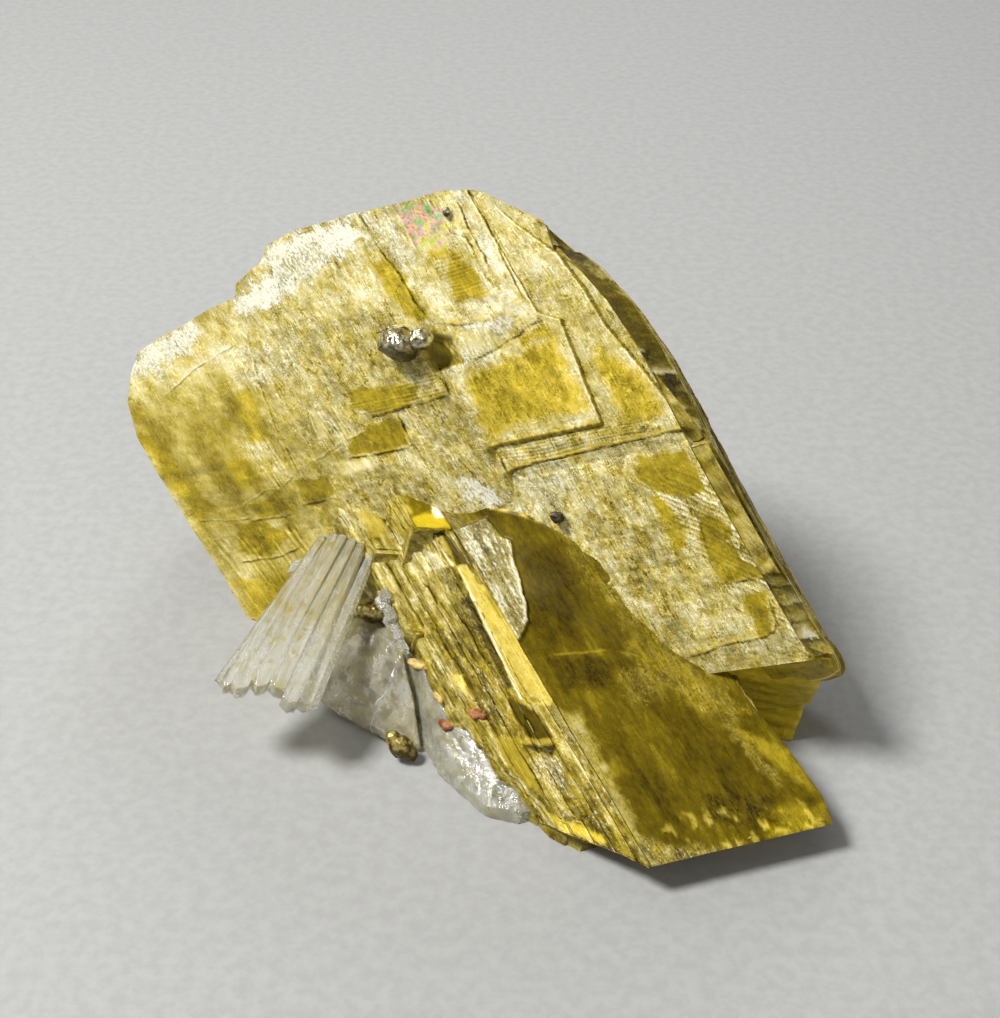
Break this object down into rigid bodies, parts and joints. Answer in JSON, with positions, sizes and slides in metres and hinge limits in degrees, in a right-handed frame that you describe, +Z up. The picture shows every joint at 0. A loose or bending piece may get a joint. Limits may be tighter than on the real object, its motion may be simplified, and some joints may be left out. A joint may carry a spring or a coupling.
{
  "type": "carbonate crystal specimen with quartz",
  "caption": "Mineral specimen: a stepped honey-coloured rhombohedral carbonate crystal leaning back on its broken base, with clear quartz and pyrite at its foot.",
  "frame": {"origin": "on the ground, under the middle of the box around the specimen", "axes": "+Z up as it stands; -Y is the side that the stepped face and the quartz look toward; +X to the right of a viewer on that side"},
  "size_m": [0.0624, 0.0524, 0.0405],
  "materials": {
    "siderite": "satin to pearly, frosted on the growth steps",
    "quartz": "glossy, clear with cloudy inclusions",
    "pyrite": "bright, lightly tarnished",
    "rust": "dull"
  },
  "bodies": {
    "root": {"siderite_crystals": "siderite", "quartz_fan": "quartz", "quartz_chunk": "quartz", "quartz_blade": "quartz", "pyrite_grain": "pyrite", "pyrite_speck": "pyrite", "pyrite_nook": "pyrite", "pyrite_base": "pyrite", "dark_grain": "rust"}
  },
  "joints": []
}
